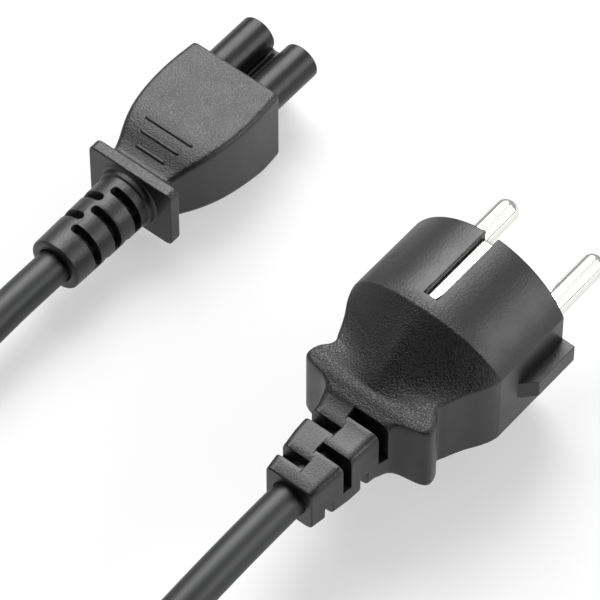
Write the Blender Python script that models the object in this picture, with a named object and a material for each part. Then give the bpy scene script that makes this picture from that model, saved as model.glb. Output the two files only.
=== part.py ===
"""Cloverleaf power cord: a three-lobed connector, a round two-pin earthed plug and the cord between them.

Lengths are in metres. +X is the way both ends point, +Y is to their left and +Z is up from the floor.
Both ends lie on the floor side by side, and the spare cord lies behind them in a flat coil.
Each end is modelled about its own axis, from its front face, and placed by its empty.
"""

import math

import bmesh
import bpy
from mathutils import Vector

# Clearance between pieces that touch
GAP = 0.0003

# Points round a circle, for small, middling and large round shapes
FINE_ROUND = 16
ROUND = 24
STEM_ROUND = 32
COIL_ROUND = 64

# Edges that bend by more than this stay sharp
SHARP_ANGLE = math.radians(30)

# Cord
CORD_DIAMETER = 0.0068
RECESS_DEPTH = 0.0020
RECESS_CLEARANCE = 0.0004
CORD_POINT_SPACING = 0.0150
CORD_ROUND_STEPS = 3

# Plug: the barrel and its flats
BARREL_RADIUS = 0.0179
FLAT_HALF_WIDTH = 0.0160
FLAT_LENGTH = 0.0175
CROWN_LENGTH = 0.0198
CROWN_RIDGE_POWER = 1.0
CROWN_EDGE_POWER = 2.6

# Plug: the guide blocks on the flats
GUIDE_HEIGHT = 0.0036
GUIDE_RISE = 0.0026
GUIDE_LENGTH = 0.0100

# Plug: the grip behind the barrel
SIDE_HEIGHT = 0.0160
GRIP_END = 0.0368
WAIST_AT = 0.0285
WAIST_HALF_WIDTH = 0.0113
STOP_AT = 0.0325
STOP_HALF_WIDTH = 0.0129
STOP_END = 0.0345

# Plug: the strain relief and its slots
RELIEF_END = 0.0545
RELIEF_ROOT_HALF_WIDTH = 0.0070
RELIEF_TIP_HALF_WIDTH = 0.0050
RELIEF_ROOT_HALF_HEIGHT = 0.0066
RELIEF_TIP_HALF_HEIGHT = 0.0049
SLOT_WIDTH = 0.0019
SLOT_WALL = 0.0011
SLOT_FIRST = 0.0376
SLOT_PITCH = 0.0085
SLOT_ROWS = 2
SLOT_REACH = 0.0030

# Plug: the pins and the bridge that holds them
PIN_DIAMETER = 0.0048
PIN_SPACING = 0.0190
PIN_LENGTH = 0.0190
PIN_ROOT = 0.0120
PIN_DOME_STEPS = 6
BRIDGE_WIDTH = 0.0270
BRIDGE_HEIGHT = 0.0092
BRIDGE_DEPTH = 0.0080

# Plug: the earth contact
EARTH_STRIP_WIDTH = 0.0021
EARTH_STRIP_THICKNESS = 0.0008
EARTH_STRIP_SINK = 0.0013
EARTH_STRIP_START = 0.0003
EARTH_GROOVE_LENGTH = 0.0170
EARTH_BAR_AT = 0.0130
EARTH_SOCKET_OFFSET = 0.0100
EARTH_SOCKET_RADIUS = 0.0031
EARTH_SOCKET_BORE = 0.00245

# Connector: the body
BODY_HEIGHT = 0.0172
BODY_HALF_WIDTH = 0.0103
BODY_LENGTH = 0.0272
BODY_NECK_HALF_WIDTH = 0.0063
BODY_NECK_DROP = 0.0034
BODY_NECK_KEEL = 0.0040
BODY_FACE_SHARE = 0.97
BODY_WIDEST_SHARE = 0.35
BODY_DROP_SHARE = 0.6
BODY_KEEL_SHARE = 0.15

# Connector: the low ribs across the top of the neck
RIB_COUNT = 3
RIB_FIRST = 0.01865
RIB_PITCH = 0.0026
RIB_HALF_LENGTH = 0.00565
RIB_SHORTENING = 0.0011
RIB_RADIUS = 0.0004
RIB_SIDES = 10

# Connector: the flange behind the body
FLANGE_WIDTH = 0.0190
FLANGE_HEIGHT = 0.0138
FLANGE_THICKNESS = 0.0024
FLANGE_CORNER = 0.0016

# Connector: the strain relief and its slots
CABLE_HEIGHT = 0.0092
STEM_LENGTH = 0.0204
STEM_ROOT_RADIUS = 0.0056
STEM_TIP_RADIUS = 0.0053
STEM_COLLAR = 0.0014
STEM_SLOT_WIDTH = 0.0016
STEM_SLOT_WALL = 0.0010
STEM_SLOT_FIRST = 0.0042
STEM_SLOT_PITCH = 0.0053
STEM_SLOT_ROWS = 3
STEM_SLOT_SPAN = 110
STEM_SLOT_STARTS = (86, -12)

# Connector: the three-lobed nose and its contacts
NOSE_LENGTH = 0.0124
NOSE_ROOT = 0.0080
LOBE_RADIUS = 0.00368
LOBE_HEIGHT = 0.0115
CONTACT_SPACING = 0.0100
EARTH_DROP = 0.0055
CREVICE_RADIUS = 0.0005
OUTER_FILLET = 0.0015
SLEEVE_OUTER = 0.00155
SLEEVE_BORE = 0.00120
SLEEVE_FRONT = 0.0020
SLEEVE_LENGTH = 0.0150

# Where the two ends lie
END_SPACING = 0.0672
CONNECTOR_AHEAD = 0.0124

# The coil of spare cord
COIL_X = -0.142
COIL_Y = 0.004
COIL_OUTER_TURN = 0.0494
COIL_INNER_TURN = 0.02665
COIL_LAYERS = 2
TIE_WIDTH = 0.0050
TIE_THICKNESS = 0.0006

CORD_RADIUS = CORD_DIAMETER / 2
PLUG_HALF_WIDTH = FLAT_HALF_WIDTH + GUIDE_RISE
PLUG_X = (RELIEF_END - CONNECTOR_AHEAD - NOSE_LENGTH) / 2
PLUG_Y = (PLUG_HALF_WIDTH - END_SPACING - BODY_HALF_WIDTH) / 2
CONNECTOR_X = PLUG_X + CONNECTOR_AHEAD
CONNECTOR_Y = PLUG_Y + END_SPACING
STEM_END = BODY_LENGTH + FLANGE_THICKNESS + STEM_LENGTH


def clear_scene():
    for obj in list(bpy.data.objects):
        bpy.data.objects.remove(obj)


def make_material(name, color, roughness, metallic=0.0):
    material = bpy.data.materials.new(name)
    material.use_nodes = True
    shader = material.node_tree.nodes["Principled BSDF"]
    shader.inputs["Base Color"].default_value = (*color, 1.0)
    shader.inputs["Roughness"].default_value = roughness
    shader.inputs["Metallic"].default_value = metallic
    return material


def make_frame(name, location):
    frame = bpy.data.objects.new(name, None)
    frame.location = location
    bpy.context.collection.objects.link(frame)
    return frame


def add_mesh(name, work, parent, material):
    """The bmesh as an object, with its normals pointing out."""
    bmesh.ops.recalc_face_normals(work, faces=work.faces[:])
    mesh = bpy.data.meshes.new(name)
    work.to_mesh(mesh)
    work.free()
    mesh.shade_smooth()
    mesh.set_sharp_from_angle(angle=SHARP_ANGLE)
    obj = bpy.data.objects.new(name, mesh)
    obj.parent = parent
    bpy.context.collection.objects.link(obj)
    if material:
        mesh.materials.append(material)
    return obj


def loft(rings):
    """A closed skin through rings of as many points each, with flat ends."""
    work = bmesh.new()
    rows = [[work.verts.new(point) for point in ring] for ring in rings]
    count = len(rows[0])
    for near, far in zip(rows, rows[1:]):
        for i in range(count):
            j = (i + 1) % count
            work.faces.new((near[i], near[j], far[j], far[i]))
    work.faces.new(rows[0])
    work.faces.new(rows[-1])
    return work


def prism_x(outline, start, end):
    """An outline of (y, z) points drawn out from x = start to x = end."""
    return loft([[(x, y, z) for y, z in outline] for x in (start, end)])


def prism_y(outline, start, end):
    """An outline of (x, z) points drawn out from y = start to y = end."""
    return loft([[(x, y, z) for x, z in outline] for y in (start, end)])


def prism_z(outline, start, end):
    """An outline of (x, y) points drawn out from z = start to z = end."""
    return loft([[(x, y, z) for x, y in outline] for z in (start, end)])


def box_outline(low, high):
    return [(low[0], low[1]), (high[0], low[1]), (high[0], high[1]), (low[0], high[1])]


def circle(center, radius, count):
    turn = 2 * math.pi / count
    return [
        (center[0] + radius * math.cos(turn * i), center[1] + radius * math.sin(turn * i))
        for i in range(count)
    ]


def arc(center, radius, start, end, count):
    """Points along an arc, ends included, with the angles in degrees."""
    angles = [math.radians(start + (end - start) * i / (count - 1)) for i in range(count)]
    return [(center[0] + radius * math.cos(a), center[1] + radius * math.sin(a)) for a in angles]


def round_box(half_width, half_height, corner, count=4):
    points = []
    for quarter, (side, up) in enumerate(((1, 1), (-1, 1), (-1, -1), (1, -1))):
        center = (side * (half_width - corner), up * (half_height - corner))
        points += arc(center, corner, 90 * quarter, 90 * (quarter + 1), count)
    return points


def shift(outline, across, up):
    return [(a + across, b + up) for a, b in outline]


def combine(target, operation, name, work):
    """Cuts the shape from the target, or joins it on, with a Boolean modifier."""
    tool = add_mesh(name, work, target.parent, None)
    tool.hide_render = True
    tool.display_type = "WIRE"
    modifier = target.modifiers.new(name, "BOOLEAN")
    modifier.operation = operation
    modifier.solver = "EXACT"
    modifier.object = tool


def cut(target, name, work):
    combine(target, "DIFFERENCE", name, work)


def join(target, name, work):
    combine(target, "UNION", name, work)


def mix(low, high, share):
    return low + (high - low) * share


def blend(points, at):
    """The value at a place along (place, value) points, eased between them."""
    if at <= points[0][0]:
        return points[0][1]
    for (a, low), (b, high) in zip(points, points[1:]):
        if at <= b:
            share = (at - a) / (b - a)
            return mix(low, high, share * share * (3 - 2 * share))
    return points[-1][1]


# Plug

GRIP_SIDE = (
    (FLAT_LENGTH, FLAT_HALF_WIDTH),
    (WAIST_AT, WAIST_HALF_WIDTH),
    (STOP_AT, STOP_HALF_WIDTH),
    (STOP_END, (STOP_HALF_WIDTH + RELIEF_ROOT_HALF_WIDTH) / 2),
    (GRIP_END, RELIEF_ROOT_HALF_WIDTH - GAP),
)
SIDE_POINTS = 5
CROWN_POINTS = 16
GRIP_STATIONS = 22


def crown_share(back, across):
    """How much of the barrel's round back is left above the grip's sides.

    It falls evenly along the ridge in the middle, and in a hollow to each side of it.
    """
    aside = abs(across) / FLAT_HALF_WIDTH
    edge = mix(CROWN_LENGTH, FLAT_LENGTH, aside**2)
    depth = (back - edge) / (STOP_AT - edge)
    return min(1.0, max(0.0, 1 - depth)) ** mix(CROWN_RIDGE_POWER, CROWN_EDGE_POWER, aside)


def plug_section(back):
    """One section of barrel or grip, this far behind the plug's face."""
    half = FLAT_HALF_WIDTH if back <= FLAT_LENGTH else blend(GRIP_SIDE, back)
    side = SIDE_HEIGHT / 2
    if back > STOP_AT:
        side = blend(((STOP_AT, SIDE_HEIGHT / 2), (GRIP_END, RELIEF_ROOT_HALF_HEIGHT - GAP)), back)
    corner = math.sqrt(BARREL_RADIUS**2 - FLAT_HALF_WIDTH**2)
    ring = []
    for turn in (1, -1):
        for i in range(SIDE_POINTS):
            ring.append((turn * half, turn * side * (2 * i / SIDE_POINTS - 1)))
        for i in range(CROWN_POINTS):
            across = half * math.cos(math.pi * i / CROWN_POINTS)
            wide = across / half * FLAT_HALF_WIDTH
            rise = math.sqrt(BARREL_RADIUS**2 - wide**2) - corner
            ring.append((turn * across, turn * (side + rise * crown_share(back, wide))))
    return [(-back, y, z) for y, z in ring]


def relief_section(back):
    share = (back - GRIP_END) / (RELIEF_END - GRIP_END)
    half_width = mix(RELIEF_ROOT_HALF_WIDTH, RELIEF_TIP_HALF_WIDTH, share)
    half_height = mix(RELIEF_ROOT_HALF_HEIGHT, RELIEF_TIP_HALF_HEIGHT, share)
    return [(-back, y, z) for y, z in round_box(half_width, half_height, SLOT_WALL, 3)]


def guide_block(side):
    """A raised bar along the middle of one flat, chamfered at the back."""
    foot = FLAT_HALF_WIDTH - GAP
    top = FLAT_HALF_WIDTH + GUIDE_RISE
    back = -GUIDE_LENGTH - GUIDE_RISE
    outline = [(-GAP, foot), (-GAP, top), (-GUIDE_LENGTH, top), (back, FLAT_HALF_WIDTH), (back, foot)]
    return prism_z([(x, side * y) for x, y in outline], -GUIDE_HEIGHT / 2, GUIDE_HEIGHT / 2)


def slot_outline(side, up):
    """An angle-shaped slot round one corner of the relief, outside the cord's own wall."""
    core = CORD_RADIUS + SLOT_WALL
    far = STOP_HALF_WIDTH
    points = [
        (-GAP, core),
        (core, core),
        (core, -SLOT_REACH),
        (far, -SLOT_REACH),
        (far, far),
        (-GAP, far),
    ]
    return [(side * y, up * z) for y, z in points]


def plug_body(frame, material):
    stations = [0] + [mix(FLAT_LENGTH, GRIP_END, i / GRIP_STATIONS) for i in range(GRIP_STATIONS + 1)]
    body = add_mesh("plug_body", loft([plug_section(b) for b in stations]), frame, material)
    rings = [relief_section(b) for b in (GRIP_END - SLOT_WIDTH / 2, RELIEF_END)]
    join(body, "plug_relief", loft(rings))
    for side in (1, -1):
        join(body, f"guide_{side}", guide_block(side))
    for row in range(2 * SLOT_ROWS):
        front = SLOT_WIDTH / 2 - SLOT_FIRST - SLOT_PITCH * row / 2
        corner = -1 if row % 2 == 0 else 1
        for up in (1, -1):
            outline = slot_outline(corner * up, up)
            cut(body, f"slot_{row}_{up}", prism_x(outline, front - SLOT_WIDTH, front))
    recess = circle((0, 0), CORD_RADIUS + RECESS_CLEARANCE, ROUND)
    cut(body, "plug_recess", prism_x(recess, -RELIEF_END + RECESS_DEPTH, -RELIEF_END - GAP))
    pocket = round_box(BRIDGE_WIDTH / 2 + GAP, BRIDGE_HEIGHT / 2 + GAP, BRIDGE_HEIGHT / 2)
    cut(body, "bridge_pocket", prism_x(pocket, -BRIDGE_DEPTH - GAP, GAP))
    for side in (1, -1):
        hole = circle((side * PIN_SPACING / 2, 0), PIN_DIAMETER / 2 + GAP, ROUND)
        cut(body, f"pin_hole_{side}", prism_x(hole, -PIN_ROOT - GAP, -BRIDGE_DEPTH))
    for name, work in earth_shapes(GAP):
        cut(body, f"earth_{name}", work)
    return body


def earth_shapes(clearance):
    """The earth contact's bar, strips and socket, or with a clearance the room for them."""
    half = EARTH_STRIP_WIDTH / 2 + clearance
    top = BARREL_RADIUS - EARTH_STRIP_SINK
    low = top - EARTH_STRIP_THICKNESS - clearance
    start = -EARTH_STRIP_START
    end = -EARTH_GROOVE_LENGTH + GAP
    high = top
    reach = top - GAP / 2
    if clearance:
        start = GAP
        end = -EARTH_GROOVE_LENGTH
        high = BARREL_RADIUS + GAP
    for name, up in (("upper_strip", 1), ("lower_strip", -1)):
        yield name, prism_y(box_outline((end, up * low), (start, up * high)), -half, half)
    thick = EARTH_STRIP_THICKNESS / 2 + clearance
    bar = box_outline((-EARTH_BAR_AT - thick, -reach), (-EARTH_BAR_AT + thick, reach))
    yield "bar", prism_y(bar, -half, half)
    front = GAP if clearance else -EARTH_STRIP_START
    ring = circle((0, -EARTH_SOCKET_OFFSET), EARTH_SOCKET_RADIUS + clearance, ROUND)
    yield "socket", prism_x(ring, -EARTH_BAR_AT - clearance, front)


def earth_contact(frame, material):
    shapes = dict(earth_shapes(0))
    contact = add_mesh("earth_contact", shapes.pop("bar"), frame, material)
    for name, work in shapes.items():
        join(contact, f"contact_{name}", work)
    bore = circle((0, -EARTH_SOCKET_OFFSET), EARTH_SOCKET_BORE, ROUND)
    depth = -EARTH_BAR_AT + EARTH_STRIP_THICKNESS
    cut(contact, "contact_bore", prism_x(bore, depth, GAP))
    return contact


def pin_bridge(frame, material):
    outline = round_box(BRIDGE_WIDTH / 2, BRIDGE_HEIGHT / 2, BRIDGE_HEIGHT / 2 - GAP)
    bridge = add_mesh("pin_bridge", prism_x(outline, -BRIDGE_DEPTH, 0), frame, material)
    for side in (1, -1):
        hole = circle((side * PIN_SPACING / 2, 0), PIN_DIAMETER / 2 + GAP, ROUND)
        cut(bridge, f"bridge_hole_{side}", prism_x(hole, -BRIDGE_DEPTH - GAP, GAP))
    return bridge


def plug_pin(name, side, frame, material):
    """A solid round pin with a domed tip."""
    radius = PIN_DIAMETER / 2
    profile = [(-PIN_ROOT, radius)]
    profile += [
        (PIN_LENGTH - radius + radius * math.sin(a), radius * math.cos(a))
        for a in (math.pi / 2 * i / PIN_DOME_STEPS for i in range(PIN_DOME_STEPS))
    ]
    rings = []
    for x, r in profile:
        points = circle((side * PIN_SPACING / 2, 0), r, ROUND)
        rings.append([(x, y, z) for y, z in points])
    return add_mesh(name, loft(rings), frame, material)


# Connector

BODY_SIDE = (
    (0, BODY_FACE_SHARE * BODY_HALF_WIDTH),
    (BODY_WIDEST_SHARE * BODY_LENGTH, BODY_HALF_WIDTH),
    (BODY_LENGTH, BODY_NECK_HALF_WIDTH),
)
BODY_TOP = ((BODY_DROP_SHARE * BODY_LENGTH, 0), (BODY_LENGTH, BODY_NECK_DROP))
BODY_KEEL = ((BODY_KEEL_SHARE * BODY_LENGTH, 0), (BODY_LENGTH, BODY_NECK_KEEL))
BODY_STATIONS = 14


def body_section(back):
    """One section of the connector's body: flat top and bottom, upright sides."""
    half = blend(BODY_SIDE, back)
    top = BODY_HEIGHT - blend(BODY_TOP, back)
    low = blend(BODY_KEEL, back)
    outline = round_box(half, (top - low) / 2, FLANGE_CORNER / 2, 3)
    return [(-back, y, z) for y, z in shift(outline, 0, (top + low) / 2)]


def rib(row):
    """A half-round bar across the top of the neck, each row shorter than the one before."""
    back = RIB_FIRST + RIB_PITCH * row
    half = RIB_HALF_LENGTH - RIB_SHORTENING * row
    top = BODY_HEIGHT - blend(BODY_TOP, back)
    return prism_y(circle((-back, top - RIB_RADIUS / 3), RIB_RADIUS, RIB_SIDES), -half, half)


def stem_radius(back):
    share = (back - BODY_LENGTH) / (STEM_END - BODY_LENGTH)
    return mix(STEM_ROOT_RADIUS, STEM_TIP_RADIUS, share)


def connector_body(frame, material):
    back = [BODY_LENGTH * i / BODY_STATIONS for i in range(BODY_STATIONS + 1)]
    body = add_mesh("connector_body", loft([body_section(b) for b in back]), frame, material)
    for row in range(RIB_COUNT):
        join(body, f"rib_{row}", rib(row))
    flange = round_box(FLANGE_WIDTH / 2, FLANGE_HEIGHT / 2, FLANGE_CORNER)
    end = BODY_LENGTH + FLANGE_THICKNESS
    join(body, "flange", prism_x(shift(flange, 0, CABLE_HEIGHT - GAP), -end, GAP - BODY_LENGTH))
    stations = (end - GAP, end + STEM_COLLAR, STEM_END)
    rings = []
    for b in stations:
        points = circle((0, CABLE_HEIGHT), stem_radius(b), STEM_ROUND)
        rings.append([(-b, y, z) for y, z in points])
    join(body, "stem", loft(rings))
    core = CORD_RADIUS + STEM_SLOT_WALL
    for row in range(2 * STEM_SLOT_ROWS - 1):
        front = STEM_SLOT_WIDTH / 2 - end - STEM_SLOT_FIRST - STEM_SLOT_PITCH * row / 2
        for half_turn in (0, 180):
            start = STEM_SLOT_STARTS[row % 2] + half_turn
            finish = start + STEM_SLOT_SPAN
            outline = arc((0, CABLE_HEIGHT), core, finish, start, 9)
            outline += arc((0, CABLE_HEIGHT), STEM_ROOT_RADIUS + GAP, start, finish, 9)
            cut(body, f"stem_slot_{row}_{half_turn}", prism_x(outline, front - STEM_SLOT_WIDTH, front))
    recess = circle((0, CABLE_HEIGHT), CORD_RADIUS + RECESS_CLEARANCE, ROUND)
    cut(body, "stem_recess", prism_x(recess, -STEM_END + RECESS_DEPTH, -STEM_END - GAP))
    pocket = nose_outline(LOBE_RADIUS + GAP)
    cut(body, "nose_pocket", prism_x(pocket, -NOSE_ROOT - GAP, GAP))
    return body


def lobe_centers():
    half = CONTACT_SPACING / 2
    return (half, LOBE_HEIGHT), (-half, LOBE_HEIGHT), (0, LOBE_HEIGHT - EARTH_DROP)


def tangent_circle(first, second, radius, side):
    """The centre of a circle that touches two lobes from outside, on one side of the line between them."""
    a, b = Vector(first), Vector(second)
    along = b - a
    middle = (a + b) / 2
    across = Vector((-along.y, along.x)).normalized() * side
    return middle + across * math.sqrt(radius**2 - (along.length / 2) ** 2)


def heading(center, point):
    return math.degrees(math.atan2(point[1] - center[1], point[0] - center[0]))


def nose_outline(radius):
    """Three round lobes, with a tight crevice each side of the middle one and a soft fillet outside."""
    left, right, low = lobe_centers()
    inner = CREVICE_RADIUS + LOBE_RADIUS - radius
    outer = OUTER_FILLET + LOBE_RADIUS - radius
    crevice = tangent_circle(left, low, radius + inner, -1)
    fillet = tangent_circle(left, low, radius + outer, 1)
    half = arc(low, radius, 90, heading(low, crevice), 4)[1:]
    start = heading(crevice, low)
    half += arc(crevice, inner, start, heading(crevice, left), 5)[1:-1]
    half += arc(left, radius, heading(left, crevice) + 360, heading(left, fillet), 15)
    start = heading(fillet, left)
    half += arc(fillet, outer, start, heading(fillet, low) + 360, 5)[1:-1]
    half += arc(low, radius, heading(low, fillet), -90, 6)
    mirrored = [(-y, z) for y, z in reversed(half[:-1])]
    return half + mirrored + [(low[0], low[1] + radius)]


def connector_insert(frame, material):
    solid = prism_x(nose_outline(LOBE_RADIUS), -NOSE_ROOT, NOSE_LENGTH)
    insert = add_mesh("connector_insert", solid, frame, material)
    for i, center in enumerate(lobe_centers()):
        hole = circle(center, SLEEVE_OUTER + GAP, FINE_ROUND)
        end = NOSE_LENGTH - SLEEVE_FRONT - SLEEVE_LENGTH - GAP
        cut(insert, f"contact_hole_{i}", prism_x(hole, end, NOSE_LENGTH + GAP))
    return insert


def contact_sleeve(name, center, frame, material):
    front = NOSE_LENGTH - SLEEVE_FRONT
    back = front - SLEEVE_LENGTH
    outside = circle(center, SLEEVE_OUTER, FINE_ROUND)
    sleeve = add_mesh(name, prism_x(outside, back, front), frame, material)
    bore = circle(center, SLEEVE_BORE, FINE_ROUND)
    cut(sleeve, f"{name}_bore", prism_x(bore, back + SLEEVE_BORE, front + GAP))
    return sleeve


# Cord

SEAT = RECESS_DEPTH - GAP
CONNECTOR_EXIT = Vector((CONNECTOR_X - STEM_END + SEAT, CONNECTOR_Y, CABLE_HEIGHT))
PLUG_EXIT = Vector((PLUG_X - RELIEF_END + SEAT, PLUG_Y, BARREL_RADIUS))

# Route points from each end to the coil, in millimetres
CONNECTOR_ROUTE = (
    (-34, 37.9, 9.1),
    (-45, 37.9, 8.4),
    (-57, 38.3, 6.3),
    (-69, 39.4, 4.3),
    (-81, 41.6, 3.4),
    (-95, 45.5, 3.4),
    (-109, 49.8, 3.4),
)
PLUG_ROUTE = (
    (-50, -29.4, 17.8),
    (-61, -29.4, 17.4),
    (-72, -29.4, 16.5),
    (-83, -29.6, 15.2),
    (-91.5, -30.4, 13.9),
    (-98.9, -31.8, 12.8),
)


def smooth_route(first, route):
    """Points along a smooth curve through the route."""
    points = [first] + [Vector(p) / 1000 for p in route]
    points = [2 * points[0] - points[1]] + points + [2 * points[-1] - points[-2]]
    line = []
    for a, b, c, d in zip(points, points[1:], points[2:], points[3:]):
        steps = max(1, round((c - b).length / CORD_POINT_SPACING))
        for i in range(steps):
            t = i / steps
            bend = (2 * a - 5 * b + 4 * c - d) * t**2
            twist = (3 * b - a - 3 * c + d) * t**3
            line.append(0.5 * (2 * b + (c - a) * t + bend + twist))
    return line + [points[-2]]


def cord_tube(name, line, material):
    curve = bpy.data.curves.new(name, "CURVE")
    curve.dimensions = "3D"
    curve.bevel_depth = CORD_RADIUS
    curve.bevel_resolution = CORD_ROUND_STEPS
    curve.use_fill_caps = True
    spline = curve.splines.new("POLY")
    spline.points.add(len(line) - 1)
    for point, place in zip(spline.points, line):
        point.co = (*place, 1)
    curve.materials.append(material)
    tube = bpy.data.objects.new(name, curve)
    bpy.context.collection.objects.link(tube)
    return tube


def cord_coil(material):
    """The outer shape of all the turns: a flat ring."""
    frame = make_frame("coil_frame", (COIL_X, COIL_Y, 0))
    inner = COIL_INNER_TURN - CORD_RADIUS
    outer = COIL_OUTER_TURN + CORD_RADIUS
    height = COIL_LAYERS * CORD_DIAMETER
    corner = CORD_RADIUS / 2
    section = round_box((outer - inner) / 2, height / 2, corner, 3)
    section = shift(section, (outer + inner) / 2, height / 2)
    work = bmesh.new()
    rows = []
    for across, along in circle((0, 0), 1, COIL_ROUND):
        rows.append([work.verts.new((r * across, r * along, z)) for r, z in section])
    for i, row in enumerate(rows):
        following = rows[(i + 1) % COIL_ROUND]
        for j in range(len(section)):
            k = (j + 1) % len(section)
            work.faces.new((row[j], row[k], following[k], following[j]))
    coil = add_mesh("cord_coil", work, frame, material)
    half = TIE_WIDTH / 2 + GAP
    notch = box_outline((-outer - GAP, -half), (-inner + GAP, half))
    cut(coil, "tie_notch", prism_z(notch, -GAP, TIE_THICKNESS + GAP))
    return coil


def coil_tie(material):
    """A flat strap round all the turns, on the far side of the coil."""
    frame = make_frame("tie_frame", (COIL_X, COIL_Y, 0))
    inner = COIL_INNER_TURN - CORD_RADIUS - GAP
    outer = COIL_OUTER_TURN + CORD_RADIUS + GAP
    height = COIL_LAYERS * CORD_DIAMETER + GAP
    top = height + TIE_THICKNESS
    outside = box_outline((-outer - TIE_THICKNESS, 0), (-inner + TIE_THICKNESS, top))
    tie = add_mesh("coil_tie", prism_y(outside, -TIE_WIDTH / 2, TIE_WIDTH / 2), frame, material)
    opening = box_outline((-outer, TIE_THICKNESS), (-inner, height))
    cut(tie, "tie_opening", prism_y(opening, -TIE_WIDTH, TIE_WIDTH))
    return tie


clear_scene()

overmould = make_material("overmould_pvc", (0.028, 0.028, 0.028), 0.55)
sheath = make_material("sheath_pvc", (0.035, 0.036, 0.037), 0.42)
nylon = make_material("insert_nylon", (0.030, 0.030, 0.030), 0.38)
nickel = make_material("nickel_plate", (0.78, 0.77, 0.75), 0.18, 1.0)
brass = make_material("contact_brass", (0.72, 0.55, 0.27), 0.3, 1.0)
strap = make_material("tie_vinyl", (0.03, 0.03, 0.03), 0.5)

plug_frame = make_frame("plug_frame", (PLUG_X, PLUG_Y, BARREL_RADIUS))
plug_body(plug_frame, overmould)
pin_bridge(plug_frame, nylon)
earth_contact(plug_frame, nickel)
plug_pin("pin_line", 1, plug_frame, nickel)
plug_pin("pin_neutral", -1, plug_frame, nickel)

connector_frame = make_frame("connector_frame", (CONNECTOR_X, CONNECTOR_Y, 0))
connector_body(connector_frame, overmould)
connector_insert(connector_frame, nylon)
for label, middle in zip(("line", "neutral", "earth"), lobe_centers()):
    contact_sleeve(f"contact_{label}", middle, connector_frame, brass)

cord_tube("cord_connector_lead", smooth_route(CONNECTOR_EXIT, CONNECTOR_ROUTE), sheath)
cord_tube("cord_plug_lead", smooth_route(PLUG_EXIT, PLUG_ROUTE), sheath)
cord_coil(sheath)
coil_tie(strap)
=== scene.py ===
"""Cloverleaf power cord: a three-lobed connector, a round earthed plug and the coiled cord between them.

Lengths are in metres. +X is the way both ends point, +Y is to their left and +Z is up from the table.
"""

import math

import bmesh
import bpy
import numpy as np
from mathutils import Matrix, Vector


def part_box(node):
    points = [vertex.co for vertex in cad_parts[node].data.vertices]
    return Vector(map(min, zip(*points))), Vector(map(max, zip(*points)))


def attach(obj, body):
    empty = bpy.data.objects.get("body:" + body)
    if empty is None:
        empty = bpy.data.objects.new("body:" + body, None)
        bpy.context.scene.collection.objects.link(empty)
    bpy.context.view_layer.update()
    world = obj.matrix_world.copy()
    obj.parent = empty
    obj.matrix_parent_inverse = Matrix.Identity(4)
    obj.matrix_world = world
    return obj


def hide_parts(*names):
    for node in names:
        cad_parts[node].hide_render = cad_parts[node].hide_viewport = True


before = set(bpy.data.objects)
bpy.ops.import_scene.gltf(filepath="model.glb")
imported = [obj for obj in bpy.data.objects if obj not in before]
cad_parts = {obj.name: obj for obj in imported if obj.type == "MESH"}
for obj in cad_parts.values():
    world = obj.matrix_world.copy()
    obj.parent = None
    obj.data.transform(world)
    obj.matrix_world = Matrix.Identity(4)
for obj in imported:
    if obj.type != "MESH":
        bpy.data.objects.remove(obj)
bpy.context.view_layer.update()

# Camera, table and light
# The lead lies on a white table under wide soft lamps, and is seen from behind, from its right and from
# well above, from nearly a metre away with a long lens.

CAMERA_ELEVATION = math.radians(53)
CAMERA_HEADING = math.radians(39.4)
CAMERA_DISTANCE = 0.880
CAMERA_ASIDE = 0.0327
CAMERA_BELOW = 0.0004
CAMERA_LENS_MM = 306
TABLE_SIZE = 6.0
SQUARE = ((-1, -1), (1, -1), (1, 1), (-1, 1))
TABLE_COLOR = "A0A0A0"
TABLE_GLOW = 0.50
LAMPS = (
    # name, direction to the lamp, distance, width, watts
    ("far_lamp", (0.48, 0.40, 0.77), 1.5, 1.05, 27),
    ("middle_lamp", (0.54, -0.40, 0.74), 1.6, 0.9, 1.9),
    ("right_lamp", (0.45, -0.80, 0.42), 1.6, 0.9, 12),
)
SKY_STRENGTH = 0.50
DARK_SIDE = (-0.45, -0.68, 0.58)
DARK_SIDE_SPREAD = (0.42, 0.84)
DARK_SIDE_LEFT = 0.0
HORIZON_BAND = (0.02, 0.22)
HORIZON_LEFT = 0.25


def linear(code):
    """A colour written as sRGB hex, as linear values with full opacity."""
    values = [int(code[i : i + 2], 16) / 255 for i in (0, 2, 4)]
    values = [v / 12.92 if v <= 0.04045 else ((v + 0.055) / 1.055) ** 2.4 for v in values]
    return (*values, 1.0)


def add_node(tree, kind, inputs=None, **settings):
    """A new node with its properties set and its inputs given values, outputs or nodes' first outputs."""
    node = tree.nodes.new(kind)
    for name, value in settings.items():
        setattr(node, name, value)
    for key, value in (inputs or {}).items():
        if isinstance(value, bpy.types.Node):
            value = value.outputs[0]
        if isinstance(value, bpy.types.NodeSocket):
            tree.links.new(value, node.inputs[key])
        else:
            node.inputs[key].default_value = value
    return node


def new_material(name, color, roughness, metallic=0.0, ior=1.5):
    """A material whose Principled shader has these plain values, with the shader and its tree."""
    material = bpy.data.materials.new(name)
    material.use_nodes = True
    tree = material.node_tree
    shader = tree.nodes["Principled BSDF"]
    shader.inputs["Base Color"].default_value = linear(color)
    shader.inputs["Roughness"].default_value = roughness
    shader.inputs["Metallic"].default_value = metallic
    shader.inputs["IOR"].default_value = ior
    return material, tree, shader


def placed(name, data):
    """A new object of the scene that carries this mesh, lamp or camera."""
    holder = bpy.data.objects.new(name, data)
    bpy.context.scene.collection.objects.link(holder)
    return holder


plug_low, plug_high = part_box("plug_body")
plug_y = (plug_low.y + plug_high.y) / 2
plug_axis = (plug_low.z + plug_high.z) / 2
plug_face = Vector((plug_high.x, plug_y, plug_axis))

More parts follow.
